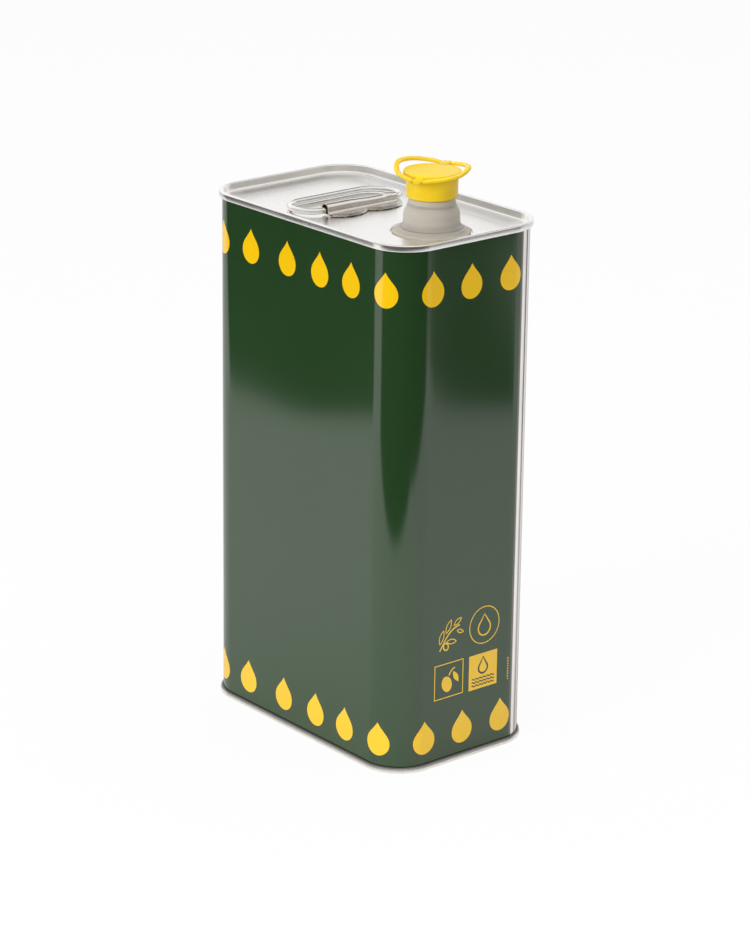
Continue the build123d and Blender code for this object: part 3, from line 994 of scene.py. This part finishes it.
class TIN_OT_sleeve(bpy.types.Operator):
    """Make the thin sleeve, drawn pulled out; the real one folds when the spout is pushed in."""

    bl_idname = "tin.sleeve"
    bl_label = "Make the sleeve"

    def execute(self, context):
        spout = context.scene.tin_spout
        foot, top = spout.flange_top, spout.sleeve_top
        low = ((16.75, 0), (16.2, 0.45), (15.45, 1.7), (15.05, 4.6))
        high = ((14.9, -4.4), (13.2, -1.2), (12.85, 0))
        points = [(r * mm, foot + z * mm) for r, z in low] + [(r * mm, top + z * mm) for r, z in high]
        middle = rounded(points, [0.5 * mm, 1.6 * mm, 3.0 * mm, 6.0 * mm, 3.0 * mm], 8)
        inner, outer = sides_of(finer(middle, 0.5 * mm), spout.wall)
        rings = rings_turned(outer + inner[::-1], spout.place, even_turns(96))
        sleeve = put("spout_sleeve_skin", loft(rings, loop=True), "milky spout", sharp_angle=45)
        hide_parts("spout_sleeve")
        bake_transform(sleeve)
        return {"FINISHED"}


class TIN_OT_flange(bpy.types.Operator):
    """Make the flange that snaps over the hole in the top."""

    bl_idname = "tin.flange"
    bl_label = "Make the flange"

    def execute(self, context):
        size, spout = context.scene.tin_sizes, context.scene.tin_spout
        panel, edge, top = size.height - size.countersink, spout.flange, spout.flange_top
        barrel = ((16.2, -3.16), (17.4, -3.16), (17.58, -2.05), (17.12, -2.0), (17.12, 0.62), (18.5, 0.62))
        rim = ((-1.0, -0.3), (-1.0, -1.5), (0, -1.5), (0, 0.35), (-0.9, 0.75), (-3.0, 1.5))
        points = [(r * mm, panel + z * mm) for r, z in barrel]
        points += [(edge + r * mm, panel + z * mm) for r, z in rim]
        points += [(17.3 * mm, top + 0.1 * mm), (16.2 * mm, top), points[0]]
        radii = [r * mm for r in (0.2, 0.1, 0, 0, 0, 0, 0.1, 0.2, 0.4, 0.6, 0.8, 0.2, 0.1)]
        rings = rings_turned(rounded(points, radii, 5)[:-1], spout.place, even_turns(128))
        flange = put("spout_flange_ring", loft(rings, loop=True), "milky spout", sharp_angle=50)
        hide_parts("spout_flange")
        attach(flange, "tin")
        return {"FINISHED"}


def cap_frame(spout):
    """Matrix from the cap's own frame, its lugs along Y, to the tin's."""
    return Matrix.Translation((spout.place, 0, 0)) @ Matrix.Rotation(spout.cap_turn, 4, "Z")


class TIN_OT_cap(bpy.types.Operator):
    """Make the screw cap: skirt, disc, inside thread and the lugs for its loops."""

    bl_idname = "tin.cap"
    bl_label = "Make the cap"

    def execute(self, context):
        spout = context.scene.tin_spout
        foot, top, disc = spout.cap_foot, spout.cap_top, spout.cap_radius
        ceiling, bore, ring = top - 3.6 * mm, 12.3 * mm, top - 0.12 * mm
        line = [
            (0.6 * mm, ceiling), (bore, ceiling), (bore, foot), (14.0 * mm, foot),
            (14.2 * mm, ceiling + 0.5 * mm), (disc - 0.2 * mm, ceiling + 1.4 * mm), (disc, top),
            (2.3 * mm, top), (2.1 * mm, ring), (1.7 * mm, ring), (1.5 * mm, top), (0.4 * mm, top),
        ]
        soft = [r * mm for r in (0.5, 0.15, 1.15, 0.15, 0.35, 0.55, 0.2, 0.05, 0.05, 0.1)]
        profile = finer(rounded(line, soft, 7), 1.2 * mm)
        count = 128
        verts, faces = loft(rings_turned(profile, 0, even_turns(count)))
        fan(verts, faces, 0, count, (0, 0, ceiling), forward=False)
        fan(verts, faces, (len(profile) - 1) * count, count, (0, 0, top))
        front, back = self.lug(spout, spout.loop_top - 1.9 * mm), self.lug(spout, spout.loop_top)
        turned_lug = moved(Matrix.Rotation(math.pi, 4, "Z"), front)
        whole = joined((verts, faces), back, turned_lug, self.thread(bore))
        cap = put("screw_cap", moved(cap_frame(spout), whole), "yellow cap plastic", sharp_angle=60)
        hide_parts("cap_shell")
        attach(cap, "cap")
        return {"FINISHED"}

    def lug(self, spout, height):
        """A low ramp from the disc out to the loops."""
        disc, far = spout.cap_radius, spout.loop_radius + 1.4 * mm
        stops = [
            (disc - 3.2 * mm, 0.0), (disc - 2.2 * mm, 0.16), (disc - 1.0 * mm, 0.55), (disc + 0.4 * mm, 0.9),
            (disc + 1.6 * mm, 1.0), (far - 0.55 * mm, 1.0), (far - 0.15 * mm, 0.93), (far, 0.72),
        ]
        base, low = min(spout.cap_top - 0.05 * mm, height), height - 2.0 * mm
        rings = []
        for y, share in stops:
            high = base + (height - base) * share
            half = 2.6 * mm - 0.2 * (spout.loop_top - height) - (0.35 * mm if y == far else 0)
            ring = rounded_box(half, max(high - low, 0.2 * mm) / 2, 0.55 * mm)
            rings.append([(x, y, (low + high) / 2 + z) for x, z in ring])
        return swept(rings)

    def thread(self, bore, steps=100, turns=1.25):
        """Ridge that stands in from the bore along a helix."""
        ridge = [(0.1 * mm, -0.8 * mm), (0.1 * mm, 0.8 * mm), (-0.8 * mm, 0.4 * mm), (-0.8 * mm, -0.4 * mm)]
        rings = []
        for k in range(steps + 1):
            a = 2 * math.pi * turns * k / steps
            z = thread_start + thread_pitch * turns * k / steps
            rings.append([((bore + r) * math.cos(a), (bore + r) * math.sin(a), z + up) for r, up in ridge])
        return swept(rings)


class TIN_OT_pulls(bpy.types.Operator):
    """Make the two pull loops and the film hinges that join them to the cap."""

    bl_idname = "tin.pulls"
    bl_label = "Make the pull loops"

    def execute(self, context):
        spout = context.scene.tin_spout
        place = cap_frame(spout)
        for way, name, joint_body in ((-1, "left", "left_pull"), (1, "right", "right_pull")):
            rings = self.loop(spout, way, loop_lifts[name])
            skin = moved(place, swept(rings))
            loop = put(f"{name}_pull_loop", skin, "yellow cap plastic", sharp_angle=60)
            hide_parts(f"cap_pull_{name}")
            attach(loop, joint_body)
            webs = moved(place, joined(*[self.web(way, rings[k]) for k in (0, -1)]))
            web = put(f"{name}_film_hinges", webs, "yellow cap plastic", sharp_angle=60)
            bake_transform(web)
        return {"FINISHED"}

    def height(self, spout, way, turn, across, lift):
        """Upper face of a loop: tilted up, bent down towards the front lug."""
        fade = (35, 88) if way < 0 else (62, 105)
        low = 1.95 * mm * (1 - smooth_step(turn, *[math.radians(a) for a in fade]))
        if way < 0:
            low += 0.35 * mm * math.exp(-((turn - math.radians(48)) / 0.42) ** 2)
        return spout.loop_top + (across - loop_hinge) * math.tan(lift) - low

    def loop(self, spout, way, lift, steps=72):
        """Sections of a loop from its front hinge round to its back hinge."""
        radius = spout.loop_radius
        first = math.asin(loop_hinge / radius)
        rings = []
        for k in range(steps + 1):
            turn = first + (math.pi - 2 * first) * k / steps
            out = Vector((way * math.sin(turn), -math.cos(turn), 0))
            top = self.height(spout, way, turn, radius * math.sin(turn), lift)
            ends = 1 - 0.30 * (1 - smooth_step(min(k, steps - k), 0, 5))
            tilt = lift * math.sin(turn)
            side = Vector((out.x * math.cos(tilt), out.y, math.sin(tilt) * abs(out.x))).normalized()
            up = Vector((-way * math.sin(tilt), 0, math.cos(tilt)))
            middle = out * radius + Vector((0, 0, top - 1.0 * mm))
            ring = rounded_box(1.4 * mm * (0.86 + 0.14 * ends), 1.0 * mm * (0.8 + 0.2 * ends), 0.72 * mm)
            points = [tuple(middle + side * x + up * z) for x, z in ring]
            rings.append(points if way < 0 else points[::-1])
        return rings

    def web(self, way, ring):
        """Thin bridge from a lug to the end of a loop."""
        y = sum(p[1] for p in ring) / len(ring)
        z = max(p[2] for p in ring) - 0.75 * mm
        rings = []
        for x, half in ((1.7, 0.42), (2.4, 0.42), (3.1, 0.30), (3.25, 0.30), (3.4, 0.30), (3.7, 0.42)):
            box = rounded_box(1.1 * mm, half * mm, 0.2 * mm, 2)
            points = [(way * x * mm, y + across, z + up) for across, up in box]
            rings.append(points if way < 0 else points[::-1])
        return swept(rings)


class TIN_OT_handle(bpy.types.Operator):
    """Make the wire ring."""

    bl_idname = "tin.handle"
    bl_label = "Make the handle"

    def execute(self, context):
        handle = context.scene.tin_handle
        radius = handle.wire / 2
        place = Matrix.Translation((handle.place, handle.slide, handle.wire_height))
        place = place @ Matrix.Rotation(-handle.droop, 4, "Y")
        path = finer(self.path(handle, radius), 2.0 * mm, closed=True)
        rings = []
        for k, point in enumerate(path):
            way = (path[(k + 1) % len(path)] - path[k - 1]).normalized()
            side = Vector((way.y, -way.x))
            ring = []
            for a in even_turns(28):
                out = side * radius * math.cos(a)
                ring.append(tuple(place @ Vector((point.x + out.x, point.y + out.y, radius * math.sin(a)))))
            rings.append(ring)
        ring = put("wire_ring", swept(rings, closed=True), "tinned wire")
        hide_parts("handle_bail")
        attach(ring, "handle")
        return {"FINISHED"}

    def path(self, handle, radius):
        """Middle line of the wire, flat, with its near rail on the hinge."""
        half = handle.length / 2 - radius
        near, far = [bend - radius for bend in wire_bends]
        corners = [(0, half, near), (-handle.span, half, far), (-handle.span, -half, far), (0, -half, near)]
        path = []
        for k, (x, y, r) in enumerate(corners):
            here = Vector((x, y))
            to_before, to_after = [
                (Vector(other[:2]) - here).normalized() for other in (corners[k - 1], corners[(k + 1) % 4])
            ]
            centre = here + (to_before + to_after) * r
            for step in range(17):
                a = math.pi / 2 * step / 16
                path.append(centre - to_after * r * math.cos(a) - to_before * r * math.sin(a))
        return path


class TIN_OT_bracket(bpy.types.Operator):
    """Make the rolled bracket: a knuckle round the wire and two lobed layers with weld dimples."""

    bl_idname = "tin.bracket"
    bl_label = "Make the bracket"

    def execute(self, context):
        size, handle = context.scene.tin_sizes, context.scene.tin_handle
        half, gap, tail = handle.roll / 2, 0.05 * mm, 6.5 * mm
        foot = size.height - size.countersink + weld_gap
        centre = foot + handle.sheet / 2 + half
        upper = -half + handle.sheet + gap
        line = [(tail, -half), (-half, -half), (-half, half), (half, half), (half, upper), (tail, upper)]
        middle = rounded(line, [2.6 * mm, 2.6 * mm, 2.6 * mm, 1.0 * mm], 10)
        left, right = sides_of(middle, handle.sheet)
        knuckle = self.capped(self.knuckle_rings(handle, left + right[::-1], centre))
        lower = self.layer(handle, -half, 0.0, centre)
        top = self.layer(handle, upper, 0.6 * mm, centre)
        bracket = put("rolled_bracket", joined(knuckle, lower, top), "rolled bracket", sharp_angle=45)
        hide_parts("handle_bracket")
        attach(bracket, "tin")
        return {"FINISHED"}

    def knuckle_rings(self, handle, section, centre):
        """Sections of the roll, which is pressed lower towards its back end and steps up near it."""
        half, long = handle.roll / 2, handle.bracket
        base, tight = -half - handle.sheet / 2, half * 1.2
        rings = []
        for k in range(61):
            y = -long / 2 + long * k / 60
            pressed = 0.14 * smooth_step(y, -12 * mm, 10 * mm)
            swell = 1 - pressed + 0.13 * smooth_step(y, 15.6 * mm, 16.8 * mm)
            swell -= 0.11 * smooth_step(y, 17.2 * mm, long / 2)
            ring = []
            for p in section:
                grow = swell if p.x < tight else 1 + (swell - 1) * max(0, 1 - (p.x - tight) / (2 * mm))
                ring.append((handle.place + p.x * grow, y, centre + base + (p.y - base) * grow))
            rings.append(ring)
        return rings

    def capped(self, rings):
        """Skin over the sheet's sections, each end closed across the sheet's thickness."""
        verts, faces = loft(rings)
        count = len(rings[0])
        for first, forward in ((0, False), (len(verts) - count, True)):
            for i in range(count // 2 - 1):
                quad = (first + i, first + i + 1, first + count - 2 - i, first + count - 1 - i)
                faces.append(quad if forward else quad[::-1])
        return verts, faces

    def layer(self, handle, height, inset, centre, across_steps=26, along_steps=120):
        """One lobed layer of the flange with a curled edge; a layer with an inset is also faintly wavy, with
        four dimples pressed by the welds.
        """
        long, lobes = handle.bracket, 2
        width, root, rise = long / lobes, 4.5 * mm, 4.5 * mm
        reach, half = 7.5 * mm - inset, width / 2 - inset
        radius = (half * half + rise * rise) / (2 * rise)
        welds = [-long / 2 + width * (lobe + (weld + 1) / 3) for lobe in range(lobes) for weld in range(2)]
        upper, lower = [], []
        for k in range(along_steps + 1):
            y = -long / 2 + inset + (long - 2 * inset) * k / along_steps
            middle = -long / 2 + width * (min(lobes - 1, int((y + long / 2) / width)) + 0.5)
            offset = max(0.0, radius * radius - (y - middle) ** 2)
            bulge = max(0.0, math.sqrt(offset) - radius + rise)
            for i in range(across_steps + 1):
                x = root + (reach + bulge - root) * i / across_steps
                curl = smooth_step(reach + bulge - x, 1.6 * mm, 0) if x > 6 * mm else 0
                warp = -(0.30 if inset else 0.12) * mm * curl * curl
                if inset:
                    warp += 0.10 * mm * math.sin(y / (4.1 * mm)) * (i / across_steps) ** 2
                    for spot in welds:
                        near = ((x - 7.5 * mm) ** 2 + (y - spot) ** 2) / (1.5 * mm) ** 2
                        warp -= 0.16 * mm * math.exp(-near)
                z = centre + height
                upper.append((handle.place + x, y, z + max(warp, -0.32 * mm) + handle.sheet / 2))
                lower.append((handle.place + x, y, z - handle.sheet / 2))
        row, total = across_steps + 1, len(upper)
        faces = []
        for k in range(along_steps):
            for i in range(across_steps):
                a, b = k * row + i, (k + 1) * row + i
                faces.append((a, a + 1, b + 1, b))
                faces.append((total + a, total + b, total + b + 1, total + a + 1))
            for i in (0, across_steps):
                a, b = k * row + i, (k + 1) * row + i
                quad = (a, total + a, total + b, b)
                faces.append(quad if i else quad[::-1])
        for k in (0, along_steps):
            for i in range(across_steps):
                a = k * row + i
                quad = (a, a + 1, total + a + 1, total + a)
                faces.append(quad if k else quad[::-1])
        return upper + lower, faces


class TIN_OT_stage(bpy.types.Operator):
    """Set the pale table, the studio light and the camera."""

    bl_idname = "tin.stage"
    bl_label = "Set the studio"

    def execute(self, context):
        levels, scene = context.scene.tin_studio, context.scene
        turns = even_turns(levels.segments)
        verts = [(levels.floor * math.cos(a), levels.floor * math.sin(a), 0) for a in turns]
        faces = []
        fan(verts, faces, 0, len(turns), (0, 0, 0))
        floor = put("studio_floor", (verts, faces), smooth=False)
        floor.data.materials.append(self.floor_finish(levels))
        self.room(levels)
        self.lamp("key_softbox", (0.15, -2.1, 1.05), (1.2, 1.3), levels.key)
        self.lamp("fill_softbox", (1.8, -0.5, 0.9), (1.0, 1.2), levels.fill)
        self.lamp("top_softbox", (0.1, 0.3, 1.9), (1.4, 1.4), levels.top)
        camera = bpy.data.cameras.new("photo_camera")
        camera.sensor_width, camera.sensor_fit = 36, "AUTO"
        camera.lens = photo_focal / photo_height * camera.sensor_width
        camera.shift_x = (photo_width / 2 - photo_centre[0]) / photo_height
        camera.shift_y = -(photo_height / 2 - photo_centre[1]) / photo_height
        camera.clip_start, camera.clip_end = 0.05, 20
        look = self.aimed("photo_camera", camera, (1.365242, -1.139070, 0.758310), (0, -0.085305, 0.173193))
        scene.camera = look
        scene.view_settings.view_transform = "Standard"
        return {"FINISHED"}

    def aimed(self, name, data, place, target):
        """A lamp or camera that looks from a place at a target."""
        made = bpy.data.objects.new(name, data)
        turn = (Vector(target) - Vector(place)).to_track_quat("-Z", "Y").to_matrix().to_4x4()
        made.matrix_world = Matrix.Translation(place) @ turn
        bpy.context.scene.collection.objects.link(made)
        return made

    def lamp(self, name, place, size, power):
        """A soft box that faces the tin and stays out of its reflections."""
        light = bpy.data.lights.new(name, "AREA")
        light.shape = "RECTANGLE"
        light.size, light.size_y = size
        light.energy = power
        self.aimed(name, light, place, (0, 0, 0.16)).visible_glossy = False

    def floor_finish(self, levels):
        """White to the camera with a faint shadow; in reflections a pale table in a darker room."""
        made = bpy.data.materials.new("studio floor")
        made.use_nodes = True
        tree = made.node_tree
        shader = tree.nodes["Principled BSDF"]
        shader.inputs["Roughness"].default_value = 0.9
        shader.inputs["Specular IOR Level"].default_value = 0.0
        place, (x, y, _) = object_place(tree)
        # The table ends in a line that bends, so that its reflection is level on both faces.
        bend = ((x + 0.465).most(0.0) * 0.9 + (x + 0.408).most(0.0) * 6.0).least(0.19)
        table = (y + (levels.table + 0.015) + bend).step(0.0, 0.03)
        table *= place.along((0.545, -0.839, 0)).step(0.464, 0.440)
        table *= place.along((0.94, -0.342, 0)).step(0.589, 0.565)
        side = place.along((-0.61, 0.79, 0))
        lean = ((side + 0.03).least(0.0) * 8.0).most(-0.12)
        far = (place.along((0.79, 0.61, 0)) + lean).step(0.68, 0.725)
        table *= 1.0 - far * (side.step(-0.12, -0.09) * side.step(0.10, 0.02))
        # Two pale boards brighten the round corners.
        table = table.most(self.sector(place, (0.07, -0.05), -121.0, 14.0))
        table = table.most(self.sector(place, (0.083, -0.04), 33.0, 8.0) * 0.55)
        to_camera = Field(node(tree, "ShaderNodeLightPath").outputs["Is Camera Ray"])
        pale = table.blend(grey(0.045, 0.06), grey(0.93, 0.01))
        feed(shader.inputs["Base Color"], to_camera.blend(pale, grey(0.93)))
        glow = node(tree, "ShaderNodeEmission", {"Strength": 1.0}).outputs["Emission"]
        self.surface(tree, to_camera * 0.94, shader.outputs["BSDF"], glow, "Material Output")
        return made

    def surface(self, tree, share, first, second, output=None):
        """Mix two shaders, and show the result if an output is named."""
        mix = node(tree, "ShaderNodeMixShader", {0: share, 1: first, 2: second}).outputs["Shader"]
        if output:
            feed(tree.nodes[output].inputs["Surface"], mix)
        return mix

    def sector(self, place, start, azimuth, half_angle):
        """1 in a sector of the floor that opens from a point."""
        a = math.radians(azimuth)
        out, side = (math.cos(a), math.sin(a), 0), (-math.sin(a), math.cos(a), 0)
        ahead = place.along(out) - (start[0] * out[0] + start[1] * out[1])
        across = place.along(side) - (start[0] * side[0] + start[1] * side[1])
        spare = ahead * math.tan(math.radians(half_angle)) - across.calc("ABSOLUTE", across)
        return spare.step(-0.02, 0.035)

    def room(self, levels):
        """White to the camera, soft light for the surfaces and a painted studio for reflections."""
        world = bpy.data.worlds.new("studio room")
        bpy.context.scene.world = world
        world.use_nodes = True
        tree = world.node_tree
        place = Field(node(tree, "ShaderNodeTexCoord").outputs["Generated"])
        height = place.along((0, 0, 1))
        walls = height.step(0.15, 0.62).blend(grey(0.26, 0.05), grey(0.93, 0.01))
        walls = place.along((-0.79, 0.61, 0)).step(0.2, 0.6).blend(walls, grey(1.1))
        walls = place.along((-0.42, 0.56, 0.71)).step(0.88, 0.97).blend(walls, grey(0.16, 0.05))
        walls = height.step(0.0, -0.03).blend(walls, grey(0.06, 0.06))
        bright = place.along((-0.72, -0.62, 0.3)).step(-0.6, 0.9)
        soft = tree.nodes["Background"]
        feed(soft.inputs["Color"], bright.blend(grey(0.75), grey(1.15)))
        soft.inputs["Strength"].default_value = levels.sky
        back, white = [
            node(tree, "ShaderNodeBackground", {"Color": colour, "Strength": 1.0}).outputs["Background"]
            for colour in (walls, grey(1.0))
        ]
        path = node(tree, "ShaderNodeLightPath").outputs
        inner = self.surface(tree, path["Is Glossy Ray"], soft.outputs["Background"], back)
        self.surface(tree, path["Is Camera Ray"], inner, white, "World Output")


class TIN_PT_panel(bpy.types.Panel):
    """Lists the steps that dress the tin."""

    bl_idname = "TIN_PT_panel"
    bl_label = "Oil tin"
    bl_space_type = "VIEW_3D"
    bl_region_type = "UI"
    bl_category = "Oil tin"

    def draw(self, context):
        for step in STEPS:
            self.layout.operator(step.bl_idname)


STEPS = (
    TIN_OT_stage, TIN_OT_cad_finishes, TIN_OT_body, TIN_OT_top, TIN_OT_bottom, TIN_OT_drops, TIN_OT_marks,
    TIN_OT_flange, TIN_OT_sleeve, TIN_OT_cap, TIN_OT_pulls, TIN_OT_handle, TIN_OT_bracket,
)
GROUPS = {
    "tin_sizes": TinSizes,
    "tin_print": PrintSizes,
    "tin_spout": SpoutSizes,
    "tin_handle": HandleSizes,
    "tin_colours": FinishColours,
    "tin_studio": StudioLevels,
}


def register():
    for kind in (*GROUPS.values(), *STEPS, TIN_PT_panel):
        bpy.utils.register_class(kind)
    for name, group in GROUPS.items():
        setattr(bpy.types.Scene, name, PointerProperty(type=group))


def unregister():
    for name in GROUPS:
        delattr(bpy.types.Scene, name)
    for kind in reversed((*GROUPS.values(), *STEPS, TIN_PT_panel)):
        bpy.utils.unregister_class(kind)


def main():
    register()
    bpy.ops.tin.stage()
    bpy.ops.tin.cad_finishes()
    bpy.ops.tin.body()
    bpy.ops.tin.top()
    bpy.ops.tin.bottom()
    bpy.ops.tin.drops()
    bpy.ops.tin.marks()
    bpy.ops.tin.flange()
    bpy.ops.tin.sleeve()
    bpy.ops.tin.cap()
    bpy.ops.tin.pulls()
    bpy.ops.tin.handle()
    bpy.ops.tin.bracket()


if __name__ == "__main__":
    main()
